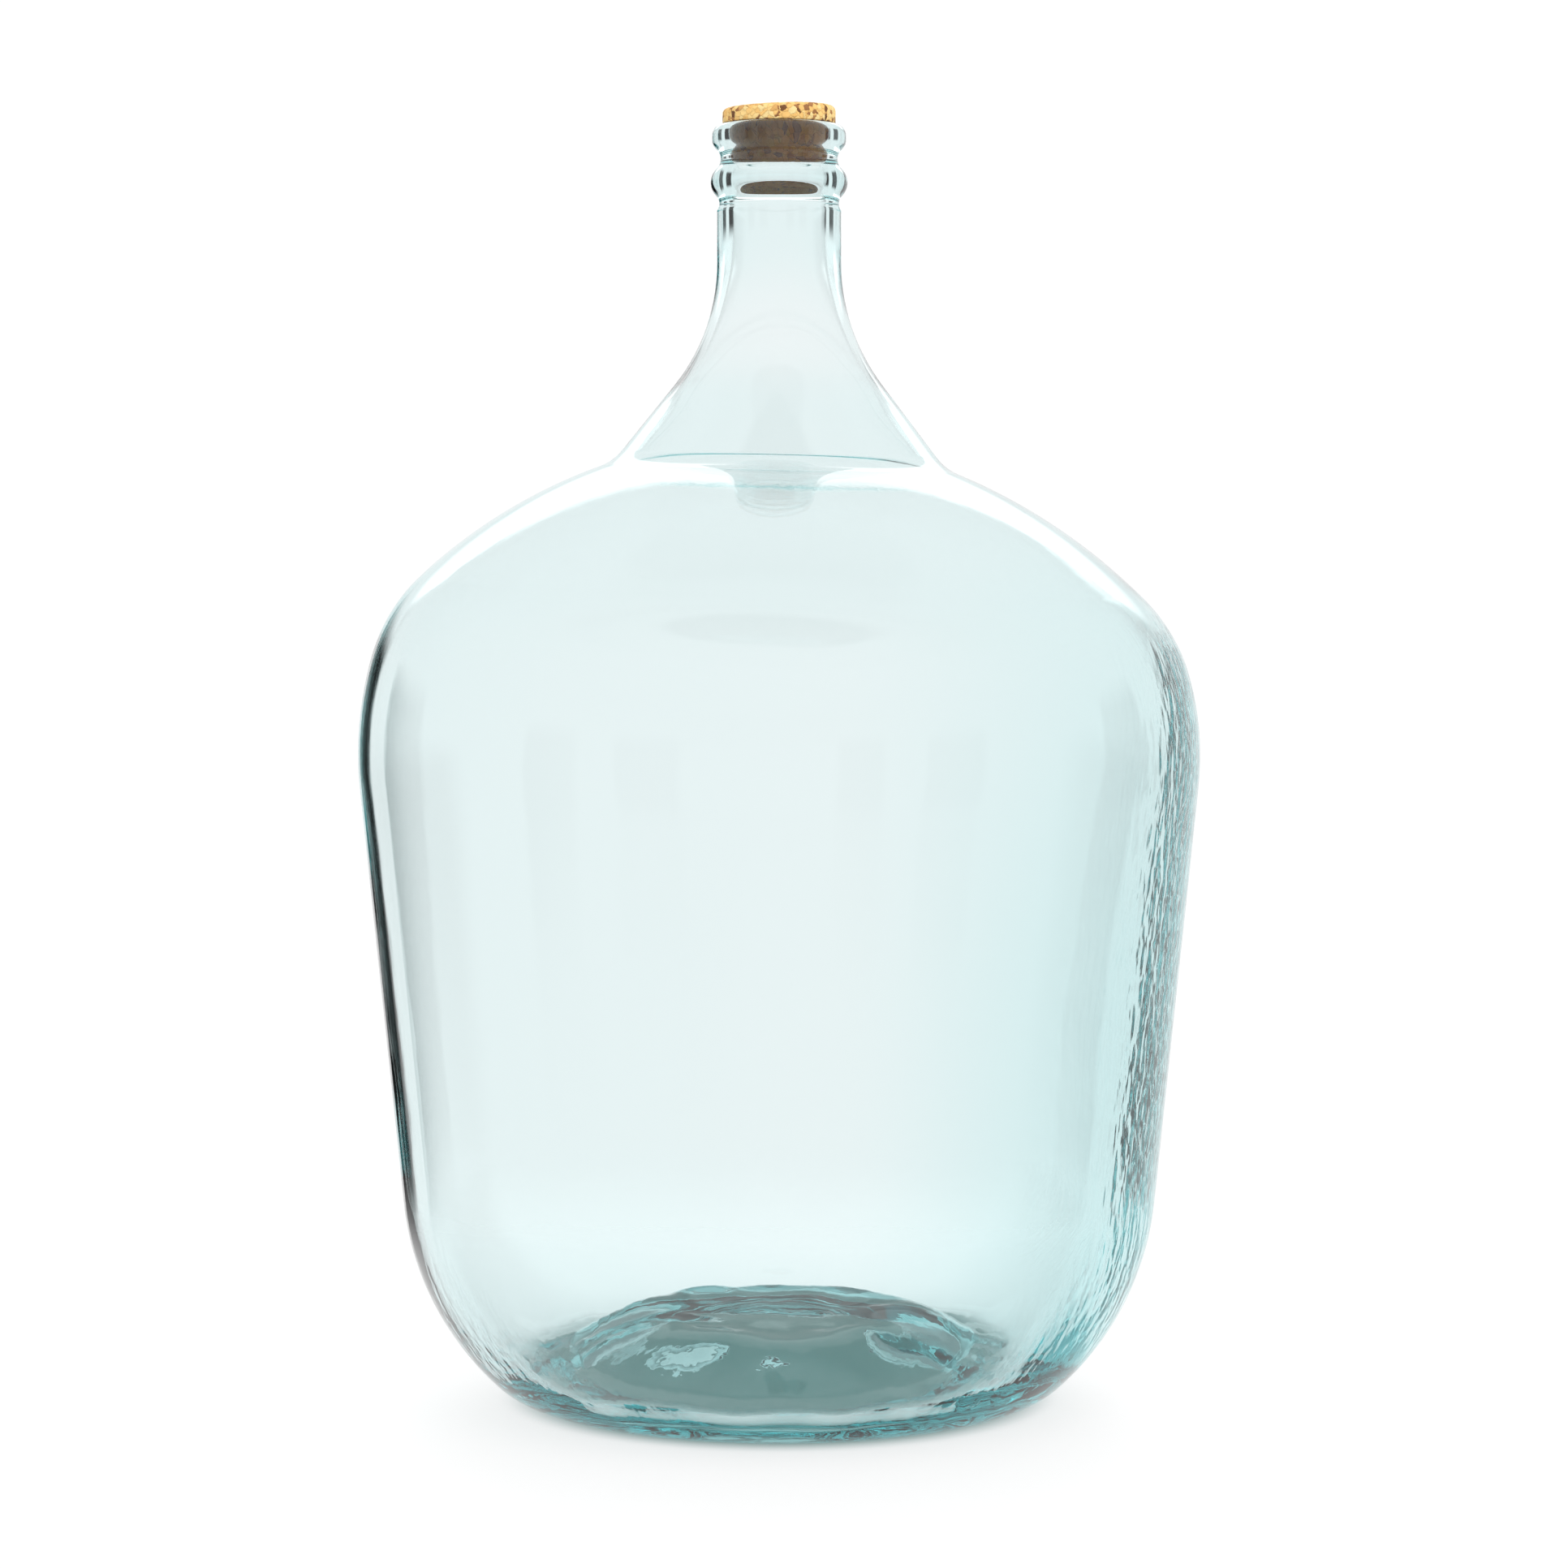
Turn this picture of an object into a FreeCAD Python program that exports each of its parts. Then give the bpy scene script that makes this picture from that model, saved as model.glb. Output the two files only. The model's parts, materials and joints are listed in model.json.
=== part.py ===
"""A glass carboy: a blown glass bottle with a ringed mouth, and its cork stopper.

The bottle is one wall section, drawn on both sides as a chain of lines and
tangent arcs, and revolved about the Z axis.  The stopper is a T-shaped cork
whose shank follows the tapered bore and whose cap rests on the flat lip.

Frame: millimetres, +Z up along the axis, origin at the centre of the ring
that the bottle stands on.
"""
import FreeCAD, Part
import Sketcher
import math
import os
from enum import IntEnum, auto

V = FreeCAD.Vector

# Driving dimensions: alias, value in millimetres (or degrees), what it sets.
SIZES = [
    ("bearing_radius", 104.0, "outer radius of the flat ring the bottle stands on"),
    ("bearing_width", 9.0, "width of that ring"),
    ("toe_arc", 34.0, "rounding from the ring into the heel"),
    ("heel_arc", 124.0, "large rounding of the heel"),
    ("side_taper", 5.7, "lean of the side wall, degrees from the axis"),
    ("body_radius", 185.0, "outside radius at the widest point"),
    ("belly_height", 284.5, "height of the widest point above the ring"),
    ("belly_arc", 142.0, "profile radius at the widest point"),
    ("shoulder_rise", 22.3, "centre of the shoulder arc above the widest point"),
    ("shoulder_arc", 77.5, "profile radius of the shoulder"),
    ("flare_angle", 38.0, "lean of the cone below the neck, degrees from the axis"),
    ("flare_length", 41.2, "length of the straight part of that cone"),
    ("slope_arc", 30.0, "profile radius from that cone into the straight ledge of the shoulder"),
    ("throat_arc", 87.0, "profile radius from the cone into the neck"),
    ("throat_rise", 215.4, "where the neck becomes straight, above the widest point"),
    ("neck_radius", 27.2, "outside radius of the neck"),
    ("neck_length", 60.1, "from the start of the straight neck to the lip"),
    ("bead_radius", 29.3, "outside radius of the upper bead"),
    ("upper_bead_arc", 5.0, "section radius of the upper bead's two edges"),
    ("upper_bead_band", 2.0, "height of the upright band between those edges"),
    ("groove_arc", 6.0, "section radius of the groove between the beads"),
    ("groove_depth", 3.7, "depth of the groove below the upper bead"),
    ("lower_bead_arc", 8.0, "section radius of the lower bead"),
    ("lower_bead_proud", 0.7, "how far the lower bead passes the upper one"),
    ("waist_arc", 5.0, "section radius of the waist under the lower bead"),
    ("waist_depth", 3.8, "depth of the waist below the lower bead"),
    ("mouth_radius", 22.2, "radius of the bore at the lip"),
    ("mouth_edge", 1.0, "rounding of the bore's mouth"),
    ("bore_end_radius", 20.3, "radius of the bore at its narrow end"),
    ("bore_depth", 35.0, "depth of the tapered bore below the lip"),
    ("side_wall", 6.0, "thickness of the blown wall"),
    ("base_wall", 9.0, "thickness of the base and the punt"),
    ("punt_height", 28.0, "height of the push-up under the base"),
    ("rim_arc", 14.0, "rounding from the ring into the punt"),
    ("valley_arc", 10.0, "inside rounding between the floor and the punt"),
    ("cork_cap_radius", 24.7, "radius of the stopper's cap"),
    ("cork_cap_height", 8.0, "height of the cap above the lip"),
    ("cork_cap_edge", 2.6, "worn rounding of the cap's top edge"),
    ("cork_under_edge", 0.6, "rounding of the cap's lower edge"),
    ("cork_shank_length", 20.0, "length of the shank below the lip"),
    ("cork_shank_edge", 1.5, "rounding of the shank's end"),
    ("cork_clearance", 0.3, "gap between the shank and the bore"),
]


class Spot(IntEnum):
    """Points of a piece of sketch geometry, as the sketcher counts them."""

    START = auto()
    END = auto()
    CENTRE = auto()


def sketch_axis(name):
    """One of the sketcher's own axes, which it numbers below nought."""
    return (-1,) if name == "radius" else (-2,)


RADIUS_AXIS, HEIGHT_AXIS = sketch_axis("radius"), sketch_axis("height")
# The point where the axes meet.
ORIGIN = RADIUS_AXIS + (Spot.START,)

# The height of the lip, and the radius of the bore at the shank's end.
LIP_HEIGHT = "Sizes.belly_height + Sizes.throat_rise + Sizes.neck_length"
SHANK_RADIUS = "Sizes.mouth_radius - Sizes.cork_clearance"
SHANK_END_RADIUS = (
    SHANK_RADIUS + " - (Sizes.mouth_radius - Sizes.bore_end_radius)"
    " * Sizes.cork_shank_length / Sizes.bore_depth"
)


def make_sheet(doc):
    """Write the driving dimensions to a sheet and return them by name."""
    sheet = doc.addObject("Spreadsheet::Sheet", "Sizes")
    for row, (alias, value, meaning) in enumerate(SIZES, start=1):
        sheet.set(f"A{row}", meaning)
        sheet.set(f"B{row}", str(value))
        sheet.setAlias(f"B{row}", alias)
    doc.recompute()
    return {alias: value for alias, value, _ in SIZES}


def make_body(doc, name):
    """An empty body whose label is the name of its node."""
    body = doc.addObject("PartDesign::Body", name)
    body.Label = name
    return body


def half_plane_sketch(body, name):
    """A sketch on the body's XZ plane: X is the radius, Y is the height."""
    sketch = body.newObject("Sketcher::SketchObject", name)
    planes = [f for f in body.Origin.OriginFeatures if f.Role == "XZ_Plane"]
    sketch.AttachmentSupport = [(planes[0], "")]
    sketch.MapMode = "FlatFace"
    return sketch


def direction(degrees):
    """Unit vector in the sketch at an angle from the radius."""
    angle = math.radians(degrees)
    return V(math.cos(angle), math.sin(angle), 0)


class Section:
    """A closed half section in a sketch, drawn piece by piece, end to end."""

    def __init__(self, sketch):
        self.sketch = sketch
        self.pieces = {}

    def line(self, name, start, end):
        geometry = self.sketch.addGeometry(Part.LineSegment(start, end))
        self.pieces[name] = (geometry, Spot.START, Spot.END)

    def arc(self, name, centre, start, end, left=True):
        """An arc from start to end, turning left (or right) on the way."""
        first, last = (start, end) if left else (end, start)
        angles = [math.atan2(p.y - centre.y, p.x - centre.x) for p in (first, last)]
        if angles[1] < angles[0]:
            angles[1] += 2 * math.pi
        circle = Part.Circle(centre, V(0, 0, 1), (start - centre).Length)
        geometry = self.sketch.addGeometry(Part.ArcOfCircle(circle, *angles))
        ends = (Spot.START, Spot.END) if left else (Spot.END, Spot.START)
        self.pieces[name] = (geometry,) + ends

    def first(self, name):
        return self.pieces[name][0], self.pieces[name][1]

    def last(self, name):
        return self.pieces[name][0], self.pieces[name][2]

    def centre(self, name):
        return self.pieces[name][0], Spot.CENTRE

    def whole(self, name):
        return (self.pieces[name][0],)

    def add(self, kind, *where):
        """A constraint with no value between the given ends or pieces."""
        self.sketch.addConstraint(Sketcher.Constraint(kind, *sum(where, ())))

    def bind(self, kind, expression, *where):
        """A constraint whose value is an expression of the sheet's cells."""
        value = float(self.sketch.evalExpression(expression))
        shown = math.radians(value) if kind == "Angle" else value
        constraint = Sketcher.Constraint(kind, *sum(where, ()), shown)
        index = self.sketch.addConstraint(constraint)
        unit = " * 1 deg" if kind == "Angle" else " * 1 mm"
        self.sketch.setExpression(f"Constraints[{index}]", f"({expression}){unit}")

    def chain(self, names, kind):
        """Join each piece to the next one: Tangent or Coincident."""
        for before, after in zip(names, names[1:]):
            self.add(kind, self.last(before), self.first(after))


def heel_centre(size, wall, toe_radius, heel_radius):
    """Centre of the arc that touches the side wall and holds the toe arc."""
    out = direction(-size["side_taper"])
    up = direction(90 - size["side_taper"])
    belly = V(size["body_radius"] - size["belly_arc"], size["belly_height"], 0)
    toe = V(size["bearing_radius"], size["toe_arc"], 0)
    start = belly + out * (size["belly_arc"] - wall - heel_radius) - toe
    along = start.dot(up)
    reach = heel_radius - toe_radius
    return toe + start + up * (-along + math.sqrt(along**2 - start.dot(start) + reach**2))


def towards(centre, other, radius):
    """Point on a circle about centre, in the direction of another point."""
    return centre + (other - centre).normalize() * radius


def draw_outside(section, size):
    """Outside of the wall, from the punt out, up the side and over the lip."""
    inner = size["bearing_radius"] - size["bearing_width"]
    rim_c = V(inner, size["rim_arc"], 0)
    rise = size["rim_arc"] - size["punt_height"]
    punt_r = (inner**2 + rise**2 - size["rim_arc"] ** 2) / (2 * size["punt_height"])
    punt_c = V(0, size["punt_height"] - punt_r, 0)
    punt_end = towards(punt_c, rim_c, punt_r)
    section.arc("punt", punt_c, V(0, size["punt_height"], 0), punt_end, left=False)
    section.arc("rim", rim_c, punt_end, V(inner, 0, 0))
    section.line("ring", V(inner, 0, 0), V(size["bearing_radius"], 0, 0))

    toe_c = V(size["bearing_radius"], size["toe_arc"], 0)
    heel_c = heel_centre(size, 0, size["toe_arc"], size["heel_arc"])
    toe_end = towards(heel_c, toe_c, size["heel_arc"])
    out = direction(-size["side_taper"])
    heel_end = heel_c + out * size["heel_arc"]
    belly_c = V(size["body_radius"] - size["belly_arc"], size["belly_height"], 0)
    side_end = belly_c + out * size["belly_arc"]
    section.arc("toe", toe_c, V(size["bearing_radius"], 0, 0), toe_end)
    section.arc("heel", heel_c, toe_end, heel_end)
    section.line("side", heel_end, side_end)

    reach = size["belly_arc"] - size["shoulder_arc"]
    across = math.sqrt(reach**2 - size["shoulder_rise"] ** 2)
    shoulder_c = belly_c + V(across, size["shoulder_rise"], 0)
    belly_end = towards(belly_c, shoulder_c, size["belly_arc"])
    section.arc("belly", belly_c, side_end, belly_end)

    throat_z = size["belly_height"] + size["throat_rise"]
    throat_c = V(size["neck_radius"] + size["throat_arc"], throat_z, 0)
    normal = direction(size["flare_angle"])
    flare_end = throat_c - normal * size["throat_arc"]
    down = direction(size["flare_angle"] - 90)
    flare_start = flare_end + down * size["flare_length"]
    slope_c = flare_start + normal * size["slope_arc"]
    gap = slope_c - shoulder_c
    lean = math.acos((size["shoulder_arc"] + size["slope_arc"]) / gap.Length)
    ledge = direction(math.degrees(math.atan2(gap.y, gap.x) - lean))
    shoulder_end = shoulder_c + ledge * size["shoulder_arc"]
    ledge_end = slope_c - ledge * size["slope_arc"]
    section.arc("shoulder", shoulder_c, belly_end, shoulder_end)
    section.line("ledge", shoulder_end, ledge_end)
    section.arc("slope", slope_c, ledge_end, flare_start, left=False)
    section.line("flare", flare_start, flare_end)
    neck_start = V(size["neck_radius"], throat_z, 0)
    section.arc("throat", throat_c, flare_end, neck_start, left=False)
    draw_finish(section, size, neck_start)
    return {
        "punt": punt_c,
        "toe": toe_c,
        "belly": belly_c,
        "shoulder": shoulder_c,
        "slope": slope_c,
        "flare_end": flare_end,
        "ledge": ledge,
    }


def beside(centre, radius, across):
    """Centre of a circle that touches another one below it, at radius across."""
    return V(across, centre.y - math.sqrt(radius**2 - (across - centre.x) ** 2), 0)


def draw_finish(section, size, neck_start):
    """Neck, waist, two beads with a groove between them, and the flat lip."""
    lip = size["belly_height"] + size["throat_rise"] + size["neck_length"]
    lower_r = size["bead_radius"] + size["lower_bead_proud"]
    lip_c = V(size["bead_radius"] - size["upper_bead_arc"], lip - size["upper_bead_arc"], 0)
    upper_c = V(lip_c.x, lip_c.y - size["upper_bead_band"], 0)
    groove_x = size["bead_radius"] - size["groove_depth"] + size["groove_arc"]
    groove_c = beside(upper_c, size["upper_bead_arc"] + size["groove_arc"], groove_x)
    lower_x = lower_r - size["lower_bead_arc"]
    lower_c = beside(groove_c, size["groove_arc"] + size["lower_bead_arc"], lower_x)
    waist_x = lower_r - size["waist_depth"] + size["waist_arc"]
    waist_c = beside(lower_c, size["lower_bead_arc"] + size["waist_arc"], waist_x)
    waist_low = beside(waist_c, size["waist_arc"], size["neck_radius"])

    lower_start = towards(lower_c, waist_c, size["lower_bead_arc"])
    lower_end = towards(lower_c, groove_c, size["lower_bead_arc"])
    upper_start = towards(upper_c, groove_c, size["upper_bead_arc"])
    band_start = V(size["bead_radius"], upper_c.y, 0)
    band_end = V(size["bead_radius"], lip_c.y, 0)
    land_start = V(lip_c.x, lip, 0)
    section.line("neck", neck_start, waist_low)
    section.arc("waist", waist_c, waist_low, lower_start, left=False)
    section.arc("lower_bead", lower_c, lower_start, lower_end)
    section.arc("groove", groove_c, lower_end, upper_start, left=False)
    section.arc("upper_bead", upper_c, upper_start, band_start)
    section.line("band", band_start, band_end)
    section.arc("lip", lip_c, band_end, land_start)
    edge_c = V(size["mouth_radius"] + size["mouth_edge"], lip - size["mouth_edge"], 0)
    section.line("land", land_start, V(edge_c.x, lip, 0))
    section.arc("mouth", edge_c, V(edge_c.x, lip, 0), V(size["mouth_radius"], edge_c.y, 0))


def draw_inside(section, size, centres):
    """Inside of the wall, from the mouth down the bore to the top of the punt."""
    lip = size["belly_height"] + size["throat_rise"] + size["neck_length"]
    wall, base = size["side_wall"], size["base_wall"]
    bore_start = V(size["mouth_radius"], lip - size["mouth_edge"], 0)
    bore_end = V(size["bore_end_radius"], lip - size["bore_depth"], 0)
    along = (bore_start - bore_end).normalize()
    square = V(along.y, -along.x, 0)
    normal = direction(size["flare_angle"])
    flare = centres["flare_end"] - normal * wall
    throat_r = normal.dot(bore_end - flare) / (1 - normal.dot(square))
    throat_c = bore_end + square * throat_r
    slope_r = size["slope_arc"] + wall
    flare_start = centres["slope"] - normal * slope_r
    section.line("bore", bore_start, bore_end)
    section.arc("inner_throat", throat_c, bore_end, throat_c - normal * throat_r)
    section.line("inner_flare", throat_c - normal * throat_r, flare_start)

    shoulder_r = size["shoulder_arc"] - wall
    ledge_start = centres["slope"] - centres["ledge"] * slope_r
    shoulder_start = centres["shoulder"] + centres["ledge"] * shoulder_r
    section.arc("inner_slope", centres["slope"], flare_start, ledge_start)
    section.line("inner_ledge", ledge_start, shoulder_start)
    belly_r = size["belly_arc"] - wall
    belly_start = towards(centres["belly"], centres["shoulder"], belly_r)
    section.arc("inner_shoulder", centres["shoulder"], shoulder_start, belly_start, left=False)
    out = direction(-size["side_taper"])
    belly_end = centres["belly"] + out * belly_r
    section.arc("inner_belly", centres["belly"], belly_start, belly_end, left=False)

    toe_r, heel_r = size["toe_arc"] - base, size["heel_arc"] - wall
    heel_c = heel_centre(size, wall, toe_r, heel_r)
    heel_end = towards(heel_c, centres["toe"], heel_r)
    section.line("inner_side", belly_end, heel_c + out * heel_r)
    section.arc("inner_heel", heel_c, heel_c + out * heel_r, heel_end, left=False)
    floor_start = V(centres["toe"].x, base, 0)
    section.arc("inner_toe", centres["toe"], heel_end, floor_start, left=False)

    punt_r = size["punt_height"] - centres["punt"].y + base
    valley_z = base + size["valley_arc"]
    reach = punt_r + size["valley_arc"]
    valley_x = math.sqrt(reach**2 - (valley_z - centres["punt"].y) ** 2)
    valley_c = V(valley_x, valley_z, 0)
    valley_end = towards(centres["punt"], valley_c, punt_r)
    top = V(0, size["punt_height"] + base, 0)
    section.line("floor", floor_start, V(valley_x, base, 0))
    section.arc("valley", valley_c, V(valley_x, base, 0), valley_end, left=False)
    section.arc("inner_punt", centres["punt"], valley_end, top)
    section.line("axis", top, V(0, size["punt_height"], 0))


SMOOTH_OUTSIDE = (
    "punt rim ring toe heel side belly shoulder ledge slope flare throat neck".split()
)
SMOOTH_FINISH = "waist lower_bead groove upper_bead band lip land mouth bore".split()
SMOOTH_INSIDE = (
    "bore inner_throat inner_flare inner_slope inner_ledge inner_shoulder inner_belly"
    " inner_side inner_heel inner_toe floor valley inner_punt".split()
)
# Arcs of the inside that share their centre with an arc of the outside.
CONCENTRIC = ["slope", "shoulder", "belly", "toe", "punt"]


def constrain_wall(section):
    """Fix every piece of the wall section by the sheet's dimensions."""
    bind, add = section.bind, section.add
    section.chain(SMOOTH_OUTSIDE, "Tangent")
    section.chain(["neck", "waist"], "Coincident")
    section.chain(SMOOTH_FINISH, "Tangent")
    section.chain(SMOOTH_INSIDE, "Tangent")
    section.chain(["inner_punt", "axis", "punt"], "Coincident")
    for name in ("ring", "land", "floor"):
        add("Horizontal", section.whole(name))
    for name in ("neck", "band"):
        add("Vertical", section.whole(name))
    for name in CONCENTRIC:
        add("Coincident", section.centre("inner_" + name), section.centre(name))
    for name in ("side", "ledge", "flare"):
        add("Parallel", section.whole("inner_" + name), section.whole(name))

    for name in ("rim", "toe", "heel", "belly", "shoulder", "slope", "throat", "waist", "groove",
                 "upper_bead", "lower_bead", "valley"):
        bind("Radius", f"Sizes.{name}_arc", section.whole(name))
    bind("Radius", "Sizes.upper_bead_arc", section.whole("lip"))
    bind("Radius", "Sizes.mouth_edge", section.whole("mouth"))
    bind("Radius", "Sizes.belly_arc - Sizes.side_wall", section.whole("inner_belly"))
    bind("Radius", "Sizes.heel_arc - Sizes.side_wall", section.whole("inner_heel"))
    bind("Radius", "Sizes.toe_arc - Sizes.base_wall", section.whole("inner_toe"))

    lower_bead = "Sizes.bead_radius + Sizes.lower_bead_proud"
    for expression, point in (
        ("Sizes.bearing_radius - Sizes.bearing_width", section.first("ring")),
        ("Sizes.bearing_radius", section.last("ring")),
        ("Sizes.body_radius - Sizes.belly_arc", section.centre("belly")),
        ("Sizes.neck_radius", section.first("neck")),
        (f"{lower_bead} - Sizes.waist_depth + Sizes.waist_arc", section.centre("waist")),
        (f"{lower_bead} - Sizes.lower_bead_arc", section.centre("lower_bead")),
        ("Sizes.bead_radius - Sizes.groove_depth + Sizes.groove_arc", section.centre("groove")),
        ("Sizes.bead_radius - Sizes.upper_bead_arc", section.centre("upper_bead")),
        ("Sizes.mouth_radius", section.first("bore")),
        ("Sizes.bore_end_radius", section.last("bore")),
    ):
        bind("DistanceX", expression, ORIGIN, point)
    for expression, point in (
        ("Sizes.punt_height", section.first("punt")),
        ("Sizes.punt_height + Sizes.base_wall", section.first("axis")),
        ("Sizes.belly_height", section.centre("belly")),
        ("Sizes.belly_height + Sizes.shoulder_rise", section.centre("shoulder")),
        ("Sizes.belly_height + Sizes.throat_rise", section.centre("throat")),
        (LIP_HEIGHT, section.first("land")),
        (f"{LIP_HEIGHT} - Sizes.bore_depth", section.last("bore")),
    ):
        bind("DistanceY", expression, ORIGIN, point)
    bind("Distance", "Sizes.flare_length", section.whole("flare"))
    bind("Distance", "Sizes.upper_bead_band", section.whole("band"))
    bind("Angle", "90 - Sizes.side_taper", section.whole("side"))
    bind("Angle", "90 + Sizes.flare_angle", section.whole("flare"))
    add("PointOnObject", section.last("ring"), RADIUS_AXIS)
    for name in ("first", "centre"):
        add("PointOnObject", getattr(section, name)("punt"), HEIGHT_AXIS)
    add("PointOnObject", section.first("axis"), HEIGHT_AXIS)


def revolve(body, sketch, name):
    """Turn a half section once round the body's vertical axis."""
    turned = body.newObject("PartDesign::Revolution", name)
    turned.Profile = sketch
    turned.ReferenceAxis = (sketch, ["V_Axis"])
    turned.Angle = 360
    sketch.Visibility = False
    return turned


def make_glass_bottle(doc, size):
    """The blown bottle: its wall section, turned about the axis."""
    body = make_body(doc, "glass_bottle")
    sketch = half_plane_sketch(body, "WallSection")
    section = Section(sketch)
    centres = draw_outside(section, size)
    draw_inside(section, size, centres)
    constrain_wall(section)
    doc.recompute()
    revolve(body, sketch, "Wall")
    return body


def make_cork_stopper(doc, size):
    """The cork, drawn from the plane of the lip and placed on it."""
    body = make_body(doc, "cork_stopper")
    sketch = half_plane_sketch(body, "CorkSection")
    section = Section(sketch)
    shank, cap = size["cork_shank_length"], size["cork_cap_height"]
    corners = [
        V(0, -shank, 0),
        V(size["bore_end_radius"], -shank, 0),
        V(size["mouth_radius"], 0, 0),
        V(size["cork_cap_radius"], 0, 0),
        V(size["cork_cap_radius"], cap, 0),
        V(0, cap, 0),
    ]
    names = ["end", "shank", "under", "rim", "top", "axis"]
    for name, start, stop in zip(names, corners, corners[1:] + corners[:1]):
        section.line(name, start, stop)
    section.chain(names + names[:1], "Coincident")
    for name in ("end", "under", "top"):
        section.add("Horizontal", section.whole(name))
    for name in ("rim", "axis"):
        section.add("Vertical", section.whole(name))
    section.add("PointOnObject", section.first("end"), HEIGHT_AXIS)
    section.add("PointOnObject", section.first("under"), RADIUS_AXIS)
    section.bind("DistanceX", SHANK_END_RADIUS, ORIGIN, section.first("shank"))
    section.bind("DistanceX", SHANK_RADIUS, ORIGIN, section.last("shank"))
    section.bind("DistanceX", "Sizes.cork_cap_radius", ORIGIN, section.first("rim"))
    section.bind("DistanceY", "Sizes.cork_cap_height", ORIGIN, section.first("top"))
    section.bind("DistanceY", "Sizes.cork_shank_length", section.first("end"), ORIGIN)
    doc.recompute()
    revolve(body, sketch, "Blank")
    doc.recompute()
    for name, height, cell in (
        ("TopEdge", cap, "cork_cap_edge"),
        ("UnderEdge", 0, "cork_under_edge"),
        ("ShankEdge", -shank, "cork_shank_edge"),
    ):
        round_edge(doc, body, name, height, cell)
    body.setExpression("Placement.Base.z", LIP_HEIGHT)
    return body


def round_edge(doc, body, name, height, cell):
    """Round the widest circular edge that lies at the given height."""
    blank = body.Tip
    shape = blank.Shape
    level = [
        (edge.Curve.Radius, index)
        for index, edge in enumerate(shape.Edges, start=1)
        if isinstance(edge.Curve, Part.Circle) and abs(edge.Curve.Center.z - height) < 1e-6
    ]
    fillet = body.newObject("PartDesign::Fillet", name)
    fillet.Base = (blank, [f"Edge{max(level)[1]}"])
    fillet.setExpression("Radius", f"Sizes.{cell} * 1 mm")
    doc.recompute()


def check(doc, bodies):
    """Stop if any object failed or any sub-part is not one sound solid."""
    failed = [o.Name for o in doc.Objects if {"Invalid", "Error"} & set(o.State)]
    if failed:
        raise RuntimeError(f"failed objects: {failed}")
    for body in bodies:
        shape = body.Shape
        if shape.isNull() or not shape.isValid() or len(shape.Solids) != 1:
            raise RuntimeError(f"{body.Label} is not one valid solid")
        box = shape.optimalBoundingBox(False, False)
        print(f"{body.Label}: {shape.Volume / 1000:.1f} cm3,"
              f" radius {box.XMax:.2f}, z {box.ZMin:.2f} to {box.ZMax:.2f} mm")


def main():
    doc = FreeCAD.newDocument("GlassCarboy")
    size = make_sheet(doc)
    bodies = [make_glass_bottle(doc, size), make_cork_stopper(doc, size)]
    doc.recompute()
    check(doc, bodies)
    os.makedirs("parts", exist_ok=True)
    for body in bodies:
        body.Shape.exportStep(f"parts/{body.Label}.step")


main()
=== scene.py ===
# %% [markdown]
# # A glass carboy and its cork
# A carboy is a large bottle blown from one gather of glass.  Its looks come from four things: the
# clean outline, a wall that is thin at the side and thick at the neck and the foot, the slow waves
# that blowing leaves inside the wall, and a pale aqua tint that only shows where light has passed
# through a lot of glass.  The construction model gives the sizes; this lesson gives the looks.

# %% Load the fixed frame
import json
import math

import bpy
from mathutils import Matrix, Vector

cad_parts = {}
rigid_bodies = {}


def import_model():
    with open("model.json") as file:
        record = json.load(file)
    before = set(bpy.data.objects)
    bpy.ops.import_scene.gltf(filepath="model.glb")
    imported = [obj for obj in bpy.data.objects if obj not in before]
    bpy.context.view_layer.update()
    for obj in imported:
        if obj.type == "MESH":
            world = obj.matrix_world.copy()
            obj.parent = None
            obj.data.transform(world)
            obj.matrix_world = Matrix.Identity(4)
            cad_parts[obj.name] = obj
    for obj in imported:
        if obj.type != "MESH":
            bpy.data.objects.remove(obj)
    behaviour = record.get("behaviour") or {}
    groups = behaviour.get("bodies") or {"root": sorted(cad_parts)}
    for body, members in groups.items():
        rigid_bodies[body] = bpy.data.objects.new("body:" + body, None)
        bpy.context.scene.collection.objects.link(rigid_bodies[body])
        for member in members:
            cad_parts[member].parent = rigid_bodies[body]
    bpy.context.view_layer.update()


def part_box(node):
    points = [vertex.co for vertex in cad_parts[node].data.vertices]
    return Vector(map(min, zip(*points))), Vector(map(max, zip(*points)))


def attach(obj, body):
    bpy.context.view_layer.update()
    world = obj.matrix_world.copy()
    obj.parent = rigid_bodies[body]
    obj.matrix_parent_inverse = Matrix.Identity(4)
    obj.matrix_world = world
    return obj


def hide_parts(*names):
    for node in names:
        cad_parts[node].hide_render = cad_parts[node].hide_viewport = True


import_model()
MM = 0.001
low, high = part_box("glass_bottle")
cork_low, cork_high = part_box("cork_stopper")
lip = high.z
print("bottle", [round(v, 4) for v in high], "cork", round(cork_low.z, 4), "to", round(cork_high.z, 4))

# %% [markdown]
# ## The camera
# The bottle is seen from just above its middle, from nearly two metres away with a long lens, so
# its foot is seen a little from above and its lip a little from below.  The camera comes first, so
# that every later step can be looked at.

# %% Place the camera
camera_data = bpy.data.cameras.new("camera")
camera_data.lens = 99.1
camera_data.sensor_width = 36.0
camera = bpy.data.objects.new("camera", camera_data)
camera.location = (0.0, -1.9, 0.3834)
camera.rotation_euler = (math.radians(90 - 3.38), 0.0, math.radians(-0.065))
bpy.context.scene.collection.objects.link(camera)
bpy.context.scene.camera = camera
print("camera at", tuple(round(v, 3) for v in camera.location))

# %% [markdown]
# ## The outline as arcs
# A bottle's mould is turned on a lathe, so its outline is a chain of straight lines and arcs that
# run smoothly into each other.  Two helpers are enough to draw it: one gives the points of an arc
# from its centre and its two ends, the other finds where one circle touches the next.

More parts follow.
